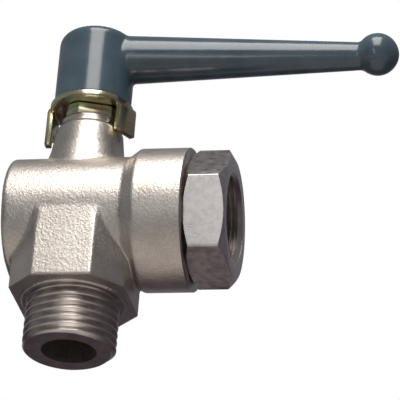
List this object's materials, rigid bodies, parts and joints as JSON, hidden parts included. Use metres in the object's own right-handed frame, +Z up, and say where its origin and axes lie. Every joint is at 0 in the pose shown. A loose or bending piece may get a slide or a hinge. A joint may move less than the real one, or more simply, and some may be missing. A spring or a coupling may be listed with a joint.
{
  "type": "angle ball valve",
  "caption": "Angle ball valve: male pipe thread below, female thread in a hexagon cap at the side, and a quarter-turn lever with a ball end on top.",
  "frame": {"origin": "on the stem axis, in the plane of the shoulder that stops the male pipe thread", "axes": "+Z up the stem, away from the male thread; +X along the side port, out of the hexagon cap's mouth"},
  "size_m": [0.0856, 0.0324, 0.0795],
  "materials": {
    "cast_nickel": "cast brass, nickel-plated with a coarse blasted surface, machined where the thread is cut",
    "turned_nickel": "turned hexagon brass, nickel-plated, bright with tool marks",
    "seal_white": "waxy white fluoropolymer",
    "ball_chrome": "polished chrome-plated brass",
    "stem_brass": "bare turned brass",
    "oring_black": "smooth black rubber",
    "gland_yellow": "yellow-passivated turned metal",
    "plate_yellow": "pressed sheet steel, shiny yellow zinc passivation",
    "lever_paint": "die casting with glossy blue-grey paint",
    "fastener_yellow": "yellow zinc-passivated steel"
  },
  "bodies": {
    "housing": {"body": "cast_nickel", "end_cap": "turned_nickel", "cap_gasket": "seal_white", "seat_ring_back": "seal_white", "seat_ring_port": "seal_white", "thrust_washer": "seal_white", "packing_base_ring": "seal_white", "packing_ring_lower": "seal_white", "packing_ring_middle": "seal_white", "packing_ring_upper": "seal_white", "gland_follower": "stem_brass", "gland_nut": "gland_yellow"},
    "rotor": {"ball": "ball_chrome", "stem": "stem_brass", "stem_oring": "oring_black", "stop_plate": "plate_yellow", "lever": "lever_paint", "flat_washer": "fastener_yellow", "spring_washer": "fastener_yellow", "handle_nut": "fastener_yellow"}
  },
  "joints": [
    {"name": "lever_turn", "type": "hinge", "parent": "housing", "child": "rotor", "pos_m": [0, 0, 0.0515], "axis": [0, 0, 1], "range_deg": [0, 90]}
  ]
}
